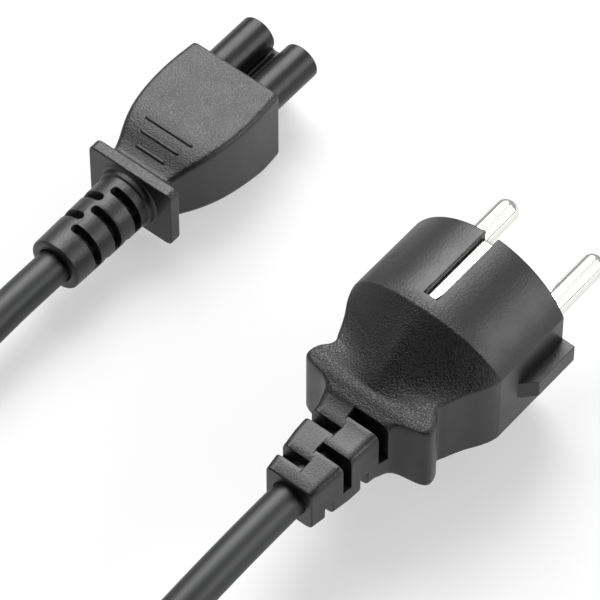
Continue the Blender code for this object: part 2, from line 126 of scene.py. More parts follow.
level = Vector((math.cos(CAMERA_HEADING), math.sin(CAMERA_HEADING), 0))
ahead = level * math.cos(CAMERA_ELEVATION) - Vector((0, 0, math.sin(CAMERA_ELEVATION)))
rightwards = Vector((level.y, -level.x, 0))
upwards = rightwards.cross(ahead)
camera = placed("camera", bpy.data.cameras.new("camera"))
camera.data.lens = CAMERA_LENS_MM
camera.location = (
    plug_face - ahead * CAMERA_DISTANCE - rightwards * CAMERA_ASIDE - upwards * CAMERA_BELOW
)
camera.rotation_euler = (math.pi / 2 - CAMERA_ELEVATION, 0, CAMERA_HEADING - math.pi / 2)
bpy.context.scene.camera = camera

table_mesh = bpy.data.meshes.new("table")
table_corners = [(x * TABLE_SIZE / 2, y * TABLE_SIZE / 2, 0) for x, y in SQUARE]
table_mesh.from_pydata(table_corners, [], [(0, 1, 2, 3)])
table = placed("table", table_mesh)

# Matt white lacquer: an even pale ground, with a faint glow that keeps it white under the soft lamps.
table_white, _, table_shader = new_material("table_white", TABLE_COLOR, roughness=0.6)
table_shader.inputs["Emission Color"].default_value = linear("FFFFFF")
table_shader.inputs["Emission Strength"].default_value = TABLE_GLOW
table_mesh.materials.append(table_white)

for name, direction, distance, width, watts in LAMPS:
    lamp = placed(name, bpy.data.lights.new(name, "AREA"))
    lamp.data.size = width
    lamp.data.energy = watts
    toward = Vector(direction).normalized()
    lamp.location = toward * distance
    lamp.rotation_euler = toward.to_track_quat("Z", "Y").to_euler()

sky = bpy.data.worlds.new("sky")
sky.use_nodes = True
sky_tree = sky.node_tree
outwards = add_node(sky_tree, "ShaderNodeTexCoord").outputs["Generated"]
darkness = add_node(
    sky_tree,
    "ShaderNodeVectorMath",
    {0: outwards, 1: Vector(DARK_SIDE).normalized()},
    operation="DOT_PRODUCT",
)
height = add_node(sky_tree, "ShaderNodeSeparateXYZ", {0: outwards})
shares = []
for source, (start, end), (first, last) in (
    (darkness.outputs["Value"], DARK_SIDE_SPREAD, (SKY_STRENGTH, SKY_STRENGTH * DARK_SIDE_LEFT)),
    (height.outputs["Z"], HORIZON_BAND, (HORIZON_LEFT, 1.0)),
):
    span = {"Value": source, "From Min": start, "From Max": end, "To Min": first, "To Max": last}
    shares.append(add_node(sky_tree, "ShaderNodeMapRange", span, interpolation_type="SMOOTHSTEP"))
strength = add_node(sky_tree, "ShaderNodeMath", {0: shares[0], 1: shares[1]}, operation="MULTIPLY")
background = sky_tree.nodes["Background"]
background.inputs["Color"].default_value = linear("FFFFFF")
sky_tree.links.new(strength.outputs[0], background.inputs["Strength"])
bpy.context.scene.world = sky
bpy.context.scene.view_settings.view_transform = "Standard"

# Cord
# Round three-core flex with an extruded black PVC sheath. It leaves the connector, drops to the table and
# winds inwards in one layer, climbs, winds outwards in a second layer and runs on to the plug.

CORD_DIAMETER = 0.0068
CORD_SIDES = 20
CORD_STEP = 0.0024
SEAT_DEPTH = 0.0017
CABLE_HEIGHT = 0.0092
CONNECTOR_ROUTE = (
    (-0.0340, 0.0379, 0.0091),
    (-0.0450, 0.0379, 0.0084),
    (-0.0570, 0.0383, 0.0063),
    (-0.0690, 0.0394, 0.0043),
    (-0.0810, 0.0416, 0.0034),
    (-0.0950, 0.0455, 0.0034),
    (-0.1090, 0.0498, 0.0034),
    (-0.1255, 0.0525, 0.0034),
)
PLUG_ROUTE = (
    (-0.0500, -0.0294, 0.0178),
    (-0.0610, -0.0294, 0.0174),
    (-0.0720, -0.0294, 0.0165),
    (-0.0830, -0.0296, 0.0152),
    (-0.0915, -0.0304, 0.0139),
    (-0.0989, -0.0318, 0.0128),
    (-0.1085, -0.0348, 0.0114),
)
COIL_MIDDLE = (-0.142, 0.004)
COIL_OUTER_TURN = 0.0494
COIL_PITCH = 0.0070
COIL_START = 90
COIL_LAYER_TURNS = 3.29
COIL_POINTS_PER_TURN = 24
COIL_CLIMB_DEGREES = 70
LAYER_HEIGHTS = (0.0034, 0.0102)
TIE_ANGLE = 180
TIE_LIFT = 0.0009
TIE_LIFT_DEGREES = 16
TIE_LIFT_HOLD = 0.4
CURVE_STEPS = 16
ROUND_CREASE = 50


def ease(share):
    """A smooth step from 0 to 1, for a number or an array."""
    share = np.clip(share, 0.0, 1.0)
    return share * share * (3 - 2 * share)


def coil_points():
    """The turns as a route: inwards along the table, up, and outwards on top of them."""
    halfway = COIL_LAYER_TURNS * 360
    low, high = LAYER_HEIGHTS
    points = []
    for degrees in np.linspace(0, 2 * halfway, round(2 * COIL_LAYER_TURNS * COIL_POINTS_PER_TURN) + 1):
        angle = math.radians(COIL_START + degrees)
        radius = COIL_OUTER_TURN - COIL_PITCH * min(degrees, 2 * halfway - degrees) / 360
        climb = ease((degrees - halfway) / COIL_CLIMB_DEGREES + 0.5)
        off_tie = abs((COIL_START + degrees - TIE_ANGLE + 180) % 360 - 180)
        lift = TIE_LIFT * (1 - ease(off_tie / TIE_LIFT_DEGREES - TIE_LIFT_HOLD))
        x, y = COIL_MIDDLE[0] + radius * math.cos(angle), COIL_MIDDLE[1] + radius * math.sin(angle)
        points.append((x, y, low + (high - low) * climb + lift))
    return points


def distances(line):
    """How far along the line each of its points lies."""
    return np.concatenate([[0], np.cumsum(np.linalg.norm(np.diff(line, axis=0), axis=1))])


def smooth_line(route, step):
    """A smooth curve through the route, as points this far apart."""
    stops = np.array(route, float)
    stops = np.vstack([2 * stops[0] - stops[1], stops, 2 * stops[-1] - stops[-2]])
    fine = []
    for a, b, c, d in zip(stops, stops[1:], stops[2:], stops[3:]):
        for t in np.linspace(0, 1, CURVE_STEPS, endpoint=False):
            bend = (2 * a - 5 * b + 4 * c - d) * t**2
            twist = (3 * b - a - 3 * c + d) * t**3
            fine.append(0.5 * (2 * b + (c - a) * t + bend + twist))
    fine = np.array(fine + [stops[-2]])
    along = distances(fine)
    places = np.linspace(0, along[-1], max(2, round(along[-1] / step)) + 1)
    return np.stack([np.interp(places, along, fine[:, axis]) for axis in range(3)], axis=1)


def add_piece(name, mesh, material, slot, *nodes):
    """The mesh as a finished piece of the lead, in place of these solids of the frame."""
    piece = placed(name, mesh)
    mesh.materials.clear()
    mesh.materials.append(material)
    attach(piece, "root")
    if nodes:
        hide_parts(*nodes)
    return piece


def settle_shading(mesh, degrees):
    """Outward faces, smooth except at edges sharper than this."""
    work = bmesh.new()
    work.from_mesh(mesh)
    bmesh.ops.recalc_face_normals(work, faces=work.faces[:])
    work.to_mesh(mesh)
    work.free()
    mesh.shade_smooth()
    mesh.set_sharp_from_angle(angle=math.radians(degrees))


def skin(name, points, faces):
    """A mesh of these points and faces."""
    mesh = bpy.data.meshes.new(name)
    mesh.from_pydata(points, [], faces)
    return mesh


def bands(rows, size, closed=False):
    """Faces between rings of as many points each, and from the last ring to the first if closed."""
    faces = []
    for i in range(rows if closed else rows - 1):
        n = (i + 1) % rows
        for j in range(size):
            k = (j + 1) % size
            faces.append((i * size + j, i * size + k, n * size + k, n * size + j))
    return faces


def swept_tube(name, line, radius, sides):
    """A round tube along the line, whose map runs round it and along it in metres."""
    tangents = np.gradient(line, axis=0)
    tangents /= np.linalg.norm(tangents, axis=1)[:, None]
    aside = np.cross(tangents, (0, 0, 1))
    aside /= np.linalg.norm(aside, axis=1)[:, None]
    above = np.cross(aside, tangents)
    turn = 2 * math.pi * np.arange(sides) / sides
    points = line[:, None] + radius * (
        np.cos(turn)[None, :, None] * aside[:, None] + np.sin(turn)[None, :, None] * above[:, None]
    )
    last = len(line) - 1
    faces = bands(len(line), sides)
    faces += [tuple(reversed(range(sides))), tuple(range(last * sides, (last + 1) * sides))]
    spots = []
    for i in range(last):
        for j in range(sides):
            spots += [(j, i), (j + 1, i), (j + 1, i + 1), (j, i + 1)]
    spots += [(0, 0)] * sides + [(0, last)] * sides
    mesh = skin(name, points.reshape(-1, 3).tolist(), faces)
    along = distances(line)
    layer = mesh.uv_layers.new(name="UVMap")
    girth = 2 * math.pi * radius
    layer.data.foreach_set("uv", [v for j, i in spots for v in (j / sides * girth, along[i])])
    settle_shading(mesh, ROUND_CREASE)
    return mesh


def work_in(tree, shader, pattern, gloss=None, within=(0.0, 1.0), depth=0.0, strength=1.0):
    """Lets a pattern, within these values, vary the roughness and raise the surface this far."""
    if gloss:
        (low, high), (start, end) = within, gloss
        span = {"Value": pattern, "From Min": low, "From Max": high, "To Min": start, "To Max": end}
        roughness = add_node(tree, "ShaderNodeMapRange", span).outputs["Result"]
        tree.links.new(roughness, shader.inputs["Roughness"])
    if depth:
        relief = {"Height": pattern, "Strength": strength, "Distance": depth}
        normal = add_node(tree, "ShaderNodeBump", relief).outputs["Normal"]
        tree.links.new(normal, shader.inputs["Normal"])


# Plasticised PVC straight from the die: an even black with a soft sheen, stretched a little along the cord.
sheath_pvc, sheath_tree, sheath_shader = new_material("sheath_pvc", "191A1B", roughness=0.46, ior=1.54)
SHEATH_LINE_MM = 0.35
SHEATH_LINE_STRETCH = 0.04
SHEATH_LINE_DEPTH = 0.00001
place = add_node(sheath_tree, "ShaderNodeTexCoord").outputs["UV"]
lines = add_node(
    sheath_tree,
    "ShaderNodeMapping",
    {"Vector": place, "Scale": (1000 / SHEATH_LINE_MM, 1000 / SHEATH_LINE_MM * SHEATH_LINE_STRETCH, 1)},
)
die_lines = add_node(sheath_tree, "ShaderNodeTexNoise", {"Vector": lines, "Scale": 1.0, "Detail": 2.0})
work_in(sheath_tree, sheath_shader, die_lines, gloss=(0.41, 0.51), depth=SHEATH_LINE_DEPTH, strength=0.5)

connector_low, connector_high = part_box("connector_body")
connector_y = (connector_low.y + connector_high.y) / 2
connector_exit = Vector((connector_low.x, connector_y, CABLE_HEIGHT))
plug_exit = Vector((plug_low.x, plug_y, plug_axis))
seat = Vector((SEAT_DEPTH, 0, 0))
cord_route = [connector_exit + seat, *CONNECTOR_ROUTE, *coil_points()]
cord_route += [*reversed(PLUG_ROUTE), plug_exit + seat]
cord_line = smooth_line(cord_route, CORD_STEP)
cord = add_piece(
    "cord",
    swept_tube("cord", cord_line, CORD_DIAMETER / 2, CORD_SIDES),
    sheath_pvc,
    "sheath",
    "cord_connector_lead",
    "cord_coil",
    "cord_plug_lead",
)

# Connector overmould
# Soft black PVC shot over the contact carrier and the stripped cord in one go. The flat-topped body narrows
# to a neck with three low ribs, and a square flange and a slotted round stem follow it.

BODY_STATIONS_MM = (
    # back, half width, top, bottom
    (0.0, 9.95, 17.20, 0.00),
    (3.0, 10.25, 17.20, 0.00),
    (5.0, 10.40, 17.18, 0.10),
    (8.0, 10.52, 17.12, 0.70),
    (11.0, 10.43, 17.05, 1.25),
    (14.0, 10.15, 16.95, 1.75),
    (17.0, 9.64, 16.80, 2.25),
    (20.0, 8.81, 16.40, 2.80),
    (22.0, 8.07, 15.90, 3.15),
    (24.0, 7.21, 15.25, 3.55),
    (26.0, 6.51, 14.80, 3.95),
    (27.6, 6.15, 14.60, 4.20),
)
BODY_LENGTH = 0.0272
BODY_EDGE = 0.0012
NECK_FLARE = 0.0006
FRONT_EDGE = 0.0005
FLANGE_SIZE = (0.0190, 0.0138, 0.0024)
FLANGE_DROP = 0.0003
FLANGE_CORNER = 0.0015
FLANGE_EDGE = 0.0003
STEM_PROFILE_MM = (
    # back from the flange, radius
    (-0.80, 5.00),
    (0.05, 6.55),
    (0.15, 6.30),
    (0.35, 6.10),
    (0.70, 6.00),
    (1.30, 5.98),
    (1.50, 5.90),
    (1.58, 5.72),
    (1.70, 5.62),
    (8.00, 5.50),
    (14.00, 5.40),
    (19.80, 5.30),
    (20.10, 5.26),
    (20.30, 5.14),
    (20.40, 4.90),
    (20.40, 3.75),
    (20.36, 3.58),
    (20.20, 3.48),
    (18.40, 3.45),
)
STEM_SIDES = 96
STEM_SLOT_WIDTH = 0.0017
STEM_SLOT_FIRST = 0.0042
STEM_SLOT_PITCH = 0.00265
STEM_SLOTS = 5
STEM_SLOT_STARTS = (85, 13)
STEM_SLOT_SPANS = (112, 74)
STEM_SLOT_FLOOR = 0.0037
STEM_SLOT_CLEAR = 0.0075
STEM_SLOT_MIDDLE = 0.0054
STEM_SLOT_STEPS = 12
SLOT_CAP_SHARES = (0.02, 0.12, 0.3, 0.55, 0.8, 1.0)
SLOT_RIM = 0.00010
CONTACT_SPACING = 0.0100
LOBE_HEIGHT = 0.0115
EARTH_LOBE_DROP = 0.0055
LOBE_RADIUS = 0.00368
CREVICE_RADIUS = 0.0005
OUTER_FILLET = 0.0015
CREVICE_POINTS = 8
LOBE_POINTS = 40
FILLET_POINTS = 10
KEEL_POINTS = 14
POCKET_GAP = 0.00012
POCKET_DEPTH = 0.0010
BODY_RINGS = 40
NECK_RINGS = 9
CORNER_SHARES = (0.15, 0.3, 0.42, 0.5, 0.58, 0.7, 0.85)
MOULDED_CREASE = 35
RIM_ANGLE = math.radians(40)
RIM_SEGMENTS = 2
SMALL_STEP = 0.0002
STEM_GRAIN = 0.28
SIDE_GRAIN = 0.07
TOP_GRAIN = 0.45
TOP_SLOPES = (0.2, 0.6)


def through(stops, at):
    """The row of values at a place along a table, on a smooth curve through its rows."""
    table = np.array(stops, float)
    places, values = table[:, 0], table[:, 1:]
    slopes = np.gradient(values, places, axis=0)
    i = int(np.clip(np.searchsorted(places, at) - 1, 0, len(places) - 2))
    gap = places[i + 1] - places[i]
    t = min(1.0, max(0.0, (at - places[i]) / gap))
    start = (2 * t**3 - 3 * t**2 + 1) * values[i] + (t**3 - 2 * t**2 + t) * gap * slopes[i]
    return start + (3 * t**2 - 2 * t**3) * values[i + 1] + (t**3 - t**2) * gap * slopes[i + 1]


def section(half, low, high, crown, keel, rounding, across, upright=7):
    """Points (y, z) round an upright-sided section, with a crown, a keel and rounded corners."""

    def turn(a, b, c):
        a, b, c = (np.array(p) for p in (a, b, c))
        return [(1 - t) ** 2 * a + 2 * t * (1 - t) * b + t**2 * c for t in CORNER_SHARES]

    inside = half - rounding
    side = np.linspace(low + rounding, high - rounding, upright)
    span = np.linspace(inside, -inside, across)
    ring = [(half, z) for z in side]
    ring += turn((half, side[-1]), (half, high), (inside, crown(inside)))
    ring += [(y, crown(y)) for y in span]
    ring += turn((-inside, crown(-inside)), (-half, high), (-half, side[-1]))
    ring += [(-half, z) for z in reversed(side)]
    ring += turn((-half, side[0]), (-half, low), (-inside, keel(-inside)))
    ring += [(y, keel(y)) for y in reversed(span)]
    ring += turn((inside, keel(inside)), (half, low), (half, side[0]))
    return np.array(ring)


def pinched(ring, inset):
    """The section drawn in by the inset on every side."""
    low, high = ring.min(axis=0), ring.max(axis=0)
    middle, reach = (low + high) / 2, (high - low) / 2
    return middle + (ring - middle) * (1 - inset / reach)


def rim_steps(radius, count=4):
    """Steps round a front edge of this radius: how far back from the face, and how far in."""
    turns = [math.pi / 2 * i / count for i in range(count + 1)]
    return [(radius * (1 - math.cos(a)), radius * (1 - math.sin(a))) for a in turns]


def loft(name, rings):
    """A closed skin through rings of as many points each, with flat ends."""
    count = len(rings[0])
    points = [tuple(point) for ring in rings for point in ring]
    faces = [tuple(range(count)), tuple(range(len(points) - count, len(points)))]
    mesh = skin(name, points, faces + bands(len(rings), count))
    settle_shading(mesh, MOULDED_CREASE)
    return mesh


def turned(name, profile, middle, sides):
    """A round piece about a line along X, from (x, radius) stations."""
    turns = 2 * math.pi * np.arange(sides) / sides
    rings = [
        [(x, middle[0] + r * math.cos(a), middle[1] + r * math.sin(a)) for a in turns]
        for x, r in profile
    ]
    return loft(name, rings)


def prism(name, outline, start, end):
    """An outline of (y, z) points drawn out along X."""
    return loft(name, [[(x, y, z) for y, z in outline] for x in (start, end)])


def modified(mesh, add_modifiers):
    """The mesh with the modifiers that the function adds worked into it."""
    body = placed(mesh.name, mesh)
    add_modifiers(body)
    graph = bpy.context.evaluated_depsgraph_get()
    result = bpy.data.meshes.new_from_object(body.evaluated_get(graph))
    bpy.data.objects.remove(body)
    return result


def mark_rims(mesh):
    """Gives the sharp outward edges the weight that a bevel reads."""
    work = bmesh.new()
    work.from_mesh(mesh)
    weight = work.edges.layers.float.new("bevel_weight_edge")
    for edge in work.edges:
        if edge.is_manifold and edge.calc_face_angle_signed() > RIM_ANGLE:
            edge[weight] = 1.0
    work.to_mesh(mesh)
    work.free()


def carved(blank, cutters=(), joined=(), rim=0.0):
    """The blank with the joined shapes added and the cutters taken away, and its outward edges rounded."""
    tools = []

    def carve(body):
        for operation, shapes in (("UNION", joined), ("DIFFERENCE", cutters)):
            for shape in shapes:
                tools.append(placed("tool", shape))
                modifier = body.modifiers.new("carve", "BOOLEAN")
                modifier.operation = operation
                modifier.solver = "EXACT"
                modifier.object = tools[-1]

    def round_rims(body):
        bevel = body.modifiers.new("rim", "BEVEL")
        bevel.limit_method = "WEIGHT"
        bevel.width = rim
        bevel.segments = RIM_SEGMENTS
        bevel.use_clamp_overlap = False

    def flatten(body):
        body.modifiers.new("flats", "WEIGHTED_NORMAL").keep_sharp = True

    result = modified(blank, carve)
    for tool in tools:
        bpy.data.objects.remove(tool)
    if rim:
        mark_rims(result)
        result = modified(result, round_rims)
    settle_shading(result, MOULDED_CREASE)
    return modified(result, flatten)


def mark_grain(mesh, amount):
    """Writes how deep the mould's grain is at each point, as an attribute the material reads."""
    count = len(mesh.vertices)
    places, normals = np.empty(count * 3), np.empty(count * 3)
    mesh.vertices.foreach_get("co", places)
    mesh.vertices.foreach_get("normal", normals)
    layer = mesh.attributes.new("grain", "FLOAT", "POINT")
    layer.data.foreach_set("value", amount(places.reshape(-1, 3), normals.reshape(-1, 3)))


def lying_share(normals, slopes):
    """How far faces lie flat: 0 on the upright sides and 1 on the faces above and below."""
    return ease((np.abs(normals[:, 2]) - slopes[0]) / (slopes[1] - slopes[0]))


# Soft PVC from a spark-eroded mould: near black, satin, with fine pebbles where the mould was left grained.
overmould_pvc, overmould_tree, overmould_shader = new_material(
    "overmould_pvc", "121212", roughness=0.5, ior=1.53
)
GRAIN_MM = 0.38
CLOUD_MM = 4.0
GRAIN_CONTRAST = (0.40, 0.62)
GRAIN_DEPTH = 0.000052
place = add_node(overmould_tree, "ShaderNodeTexCoord").outputs["Object"]
grain_share = add_node(overmould_tree, "ShaderNodeAttribute", attribute_name="grain").outputs["Fac"]
pebbles = add_node(
    overmould_tree,
    "ShaderNodeTexNoise",
    {"Vector": place, "Scale": 1000 / GRAIN_MM, "Detail": 3.0, "Roughness": 0.55},
)
clouds = add_node(
    overmould_tree, "ShaderNodeTexNoise", {"Vector": place, "Scale": 1000 / CLOUD_MM, "Detail": 2.0}
)
raised = add_node(
    overmould_tree,
    "ShaderNodeMapRange",
    {"Value": pebbles.outputs["Fac"], "From Min": GRAIN_CONTRAST[0], "From Max": GRAIN_CONTRAST[1]},
    interpolation_type="SMOOTHSTEP",
)
grain_height = add_node(
    overmould_tree,
    "ShaderNodeMath",
    {0: raised.outputs["Result"], 1: grain_share},
    operation="MULTIPLY",
)
work_in(overmould_tree, overmould_shader, grain_height, depth=GRAIN_DEPTH)
work_in(overmould_tree, overmould_shader, clouds, gloss=(0.36, 0.42), within=(0.3, 0.7))
overmould_color = add_node(
    overmould_tree,
    "ShaderNodeMix",
    {"Factor": pebbles.outputs["Fac"], "A": linear("0A0A0A"), "B": linear("101010")},
    data_type="RGBA",
)
overmould_tree.links.new(overmould_color.outputs["Result"], overmould_shader.inputs["Base Color"])

connector_face = connector_high.x
stem_middle = np.array((connector_y, CABLE_HEIGHT))


def body_ring(back, inset=0.0):
    """The connector body's section, this far behind its front face."""
    half, top, low = through(BODY_STATIONS_MM, back * 1000) / 1000
    flare = NECK_FLARE * max(0.0, 1 - (BODY_LENGTH - back) / (2 * NECK_FLARE)) ** 2
    half, top, low = half + flare, top + flare, low - flare
    ring = section(half, low, top, lambda y: top, lambda y: low, BODY_EDGE, across=21)
    ring = pinched(ring, inset)
    return [(connector_face - back, connector_y + y, z) for y, z in ring]


def flange_ring(back, inset):
    """The square flange's section, this far behind its front."""
    half, tall = FLANGE_SIZE[0] / 2 - inset, FLANGE_SIZE[1] / 2 - inset
    middle = CABLE_HEIGHT - FLANGE_DROP
    ring = section(half, -tall, tall, lambda y: tall, lambda y: -tall, FLANGE_CORNER, across=9)
    return [(connector_face - BODY_LENGTH - back, connector_y + y, middle + z) for y, z in ring]


def stem_slot_cutter(row, half_turn):
    """A slot that runs part of the way round the stem, with round ends."""
    middle = connector_face - BODY_LENGTH - FLANGE_SIZE[2] - STEM_SLOT_FIRST - STEM_SLOT_PITCH * row
    start = math.radians(STEM_SLOT_STARTS[row % 2] + half_turn)
    end = start + math.radians(STEM_SLOT_SPANS[row % 2])
    half = STEM_SLOT_WIDTH / 2
    reach = half / STEM_SLOT_MIDDLE
    caps = [(reach * share, math.sqrt(1 - (1 - share) ** 2)) for share in SLOT_CAP_SHARES]
    spots = [(start + turn, width) for turn, width in caps]
    spots += [(turn, 1.0) for turn in np.linspace(start + reach, end - reach, STEM_SLOT_STEPS)[1:-1]]
    spots += [(end - turn, width) for turn, width in reversed(caps)]
    corners = [(-1, STEM_SLOT_FLOOR), (-1, STEM_SLOT_CLEAR), (1, STEM_SLOT_CLEAR), (1, STEM_SLOT_FLOOR)]
    rings = []
    for turn, width in spots:
        out = np.array((math.cos(turn), math.sin(turn)))
        rings.append([(middle + side * half * width, *(stem_middle + r * out)) for side, r in corners])
    return loft("slot", rings)


def arc(center, radius, start, end, count):
    """Points along an arc, ends included, with the angles in degrees."""
    angles = np.radians(np.linspace(start, end, count))
    return [(center[0] + radius * math.cos(a), center[1] + radius * math.sin(a)) for a in angles]


def heading(center, point):
    """The direction of a point from a centre, in degrees."""
    return math.degrees(math.atan2(point[1] - center[1], point[0] - center[0]))


def touching_middle(first, second, radius, side):
    """The middle of a circle that touches two lobes from outside."""
    a, b = Vector(first), Vector(second)
    along = b - a
    across = Vector((-along.y, along.x)).normalized() * side
    return (a + b) / 2 + across * math.sqrt(radius**2 - (along.length / 2) ** 2)


lobe_middles = [
    (connector_y + CONTACT_SPACING / 2, LOBE_HEIGHT),
    (connector_y - CONTACT_SPACING / 2, LOBE_HEIGHT),
    (connector_y, LOBE_HEIGHT - EARTH_LOBE_DROP),
]


def nose_outline(radius):
    """Three round lobes, with a tight crevice each side of the lower one and a soft fillet outside."""
    left, low = lobe_middles[0], lobe_middles[2]
    inner = CREVICE_RADIUS + LOBE_RADIUS - radius
    outer = OUTER_FILLET + LOBE_RADIUS - radius
    crevice = touching_middle(left, low, radius + inner, -1)
    fillet = touching_middle(left, low, radius + outer, 1)
    half = arc(low, radius, 90, heading(low, crevice), CREVICE_POINTS)[1:]
    half += arc(crevice, inner, heading(crevice, low), heading(crevice, left), CREVICE_POINTS)[1:-1]
    half += arc(left, radius, heading(left, crevice) + 360, heading(left, fillet), LOBE_POINTS)
    half += arc(fillet, outer, heading(fillet, left), heading(fillet, low) + 360, FILLET_POINTS)[1:-1]
    half += arc(low, radius, heading(low, fillet), -90, KEEL_POINTS)
    mirrored = [(2 * connector_y - y, z) for y, z in reversed(half[:-1])]
    return half + mirrored + [(low[0], low[1] + radius)]


body_backs = np.linspace(FRONT_EDGE, BODY_LENGTH - 4 * NECK_FLARE, BODY_RINGS).tolist()
body_backs += np.linspace(BODY_LENGTH - 3 * NECK_FLARE, BODY_LENGTH + NECK_FLARE / 2, NECK_RINGS).tolist()
body_rings = [body_ring(back, inset) for back, inset in rim_steps(FRONT_EDGE)[:-1]]
body_rings += [body_ring(back) for back in body_backs]
flange_steps = rim_steps(FLANGE_EDGE, count=3)
flange_rings = [flange_ring(back, inset) for back, inset in flange_steps]
flange_rings += [flange_ring(FLANGE_SIZE[2] - back, inset) for back, inset in reversed(flange_steps)]
stem_start = connector_face - BODY_LENGTH - FLANGE_SIZE[2]
stem_profile = [(stem_start - back / 1000, r / 1000) for back, r in STEM_PROFILE_MM]
stem_blank = turned("stem", stem_profile, stem_middle, STEM_SIDES)
stem_cutters = [stem_slot_cutter(row, turn) for row in range(STEM_SLOTS) for turn in (0, 180)]
stem = carved(stem_blank, stem_cutters, rim=SLOT_RIM)
pocket = prism(
    "pocket",
    nose_outline(LOBE_RADIUS + POCKET_GAP),
    connector_face - POCKET_DEPTH,
    connector_face + POCKET_DEPTH,
)
connector_mesh = carved(
    loft("connector_overmould", body_rings),
    cutters=[pocket],
    joined=[loft("flange", flange_rings), stem],
)


def connector_grain(places, normals):
    """Grained on the faces that the mould halves form, and nearly smooth on the upright sides."""
    on_stem = places[:, 0] < stem_start - SMALL_STEP
    return np.where(on_stem, STEM_GRAIN, SIDE_GRAIN + TOP_GRAIN * lying_share(normals, TOP_SLOPES))


mark_grain(connector_mesh, connector_grain)
connector_overmould = add_piece(
    "connector_overmould", connector_mesh, overmould_pvc, "overmould", "connector_body"
)

# Ribs on the neck
# Three low raised lines across the top of the neck, for the fingers to find, cut into the same mould.

RIB_COUNT = 3
RIB_FIRST = 0.01865
RIB_PITCH = 0.0026
RIB_HALF_LENGTH = 0.00565
RIB_SHORTENING = 0.0011
RIB_RADIUS = 0.00038
RIB_SINK = 0.00010
RIB_POINTS = 33
RIB_SIDES = 16
RIB_END_POWER = 24.0
RIB_GRAIN = 0.4
RIB_DROP_FROM = 0.03
RIB_DROP = 0.1


def new_tree(name, kinds):
    """A geometry node tree with inputs of these names and kinds, and the inputs' own outputs."""
    tree = bpy.data.node_groups.new(name, "GeometryNodeTree")
    for key, kind in kinds.items():
        tree.interface.new_socket(name=key, in_out="INPUT", socket_type="NodeSocket" + kind)
    tree.interface.new_socket(name="Geometry", in_out="OUTPUT", socket_type="NodeSocketGeometry")
    return tree, add_node(tree, "NodeGroupInput").outputs


def ended_tree(tree, shape, material):
    """The tree with this shape as its result, made real and given its material."""
    real = add_node(tree, "GeometryNodeRealizeInstances", {"Geometry": shape})
    finished = add_node(tree, "GeometryNodeSetMaterial", {"Geometry": real, "Material": material})
    add_node(tree, "NodeGroupOutput", {"Geometry": finished})
    return tree


def rib_tree(material):
    """Geometry nodes: bars in a row, each shorter than the last, laid on the surface below them."""
    kinds = {"Surface": "Object", "Count": "Int", "Start": "Vector"}
    kinds.update(dict.fromkeys(("Pitch", "Half Length", "Shortening", "Radius", "Sink"), "Float"))
    tree, given = new_tree("neck_ribs", kinds)
    back = add_node(tree, "ShaderNodeMath", {0: given["Pitch"], 1: -1.0}, operation="MULTIPLY")
    step = add_node(tree, "ShaderNodeCombineXYZ", {"X": back})
    places = add_node(
        tree,
        "GeometryNodeMeshLine",
        {"Count": given["Count"], "Start Location": given["Start"], "Offset": step},
    )
    row = add_node(tree, "GeometryNodeInputIndex")
    cut = add_node(tree, "ShaderNodeMath", {0: row, 1: given["Shortening"]}, operation="MULTIPLY")
    reach = add_node(tree, "ShaderNodeMath", {0: given["Half Length"], 1: cut}, operation="SUBTRACT")
    stretch = add_node(tree, "ShaderNodeCombineXYZ", {"X": 1.0, "Y": reach, "Z": 1.0})
    bar = add_node(
        tree, "GeometryNodeCurvePrimitiveLine", {"Start": (0.0, -1.0, 0.0), "End": (0.0, 1.0, 0.0)}
    )
    fine_bar = add_node(tree, "GeometryNodeResampleCurve", {"Curve": bar, "Count": RIB_POINTS})
    bars = add_node(
        tree, "GeometryNodeInstanceOnPoints", {"Points": places, "Instance": fine_bar, "Scale": stretch}
    )
    loose = add_node(tree, "GeometryNodeRealizeInstances", {"Geometry": bars})
    target = add_node(tree, "GeometryNodeObjectInfo", {"Object": given["Surface"]})
    ray = add_node(
        tree,
        "GeometryNodeRaycast",
        {
            "Target Geometry": target.outputs["Geometry"],
            "Ray Direction": (0.0, 0.0, -1.0),
            "Ray Length": RIB_DROP,
        },
    )
    deeper = add_node(tree, "ShaderNodeMath", {0: given["Sink"], 1: -1.0}, operation="MULTIPLY")
    down = add_node(tree, "ShaderNodeCombineXYZ", {"Z": deeper})
    laid = add_node(
        tree,
        "GeometryNodeSetPosition",
        {
            "Geometry": loose,
            "Selection": ray.outputs["Is Hit"],
            "Position": ray.outputs["Hit Position"],
            "Offset": down,
        },
    )
    thickness = add_node(tree, "GeometryNodeSplineParameter")
    for operation, values in (
        ("MULTIPLY_ADD", {1: 2.0, 2: -1.0}),
        ("ABSOLUTE", {}),
        ("POWER", {1: RIB_END_POWER}),
        ("MULTIPLY_ADD", {1: -1.0, 2: 1.0}),
        ("SQRT", {}),
        ("MULTIPLY", {1: given["Radius"]}),
    ):
        thickness = add_node(tree, "ShaderNodeMath", {0: thickness, **values}, operation=operation)
    ring = add_node(tree, "GeometryNodeCurvePrimitiveCircle", {"Resolution": RIB_SIDES, "Radius": 1.0})
    swept = add_node(
        tree,
        "GeometryNodeCurveToMesh",
        {"Curve": laid, "Profile Curve": ring, "Scale": thickness, "Fill Caps": True},
    )
    return ended_tree(tree, swept, material)


def grown(name, tree, values, places=()):
    """The result of a node tree with these named inputs, run on these points, as a plain mesh."""

    def grow(body):
        modifier = body.modifiers.new(name, "NODES")
        modifier.node_group = tree
        sockets = {s.name: s.identifier for s in tree.interface.items_tree if s.in_out == "INPUT"}
        for key, value in values.items():
            modifier[sockets[key]] = value

    result = modified(skin(name, places, []), grow)
    settle_shading(result, ROUND_CREASE)
    return result


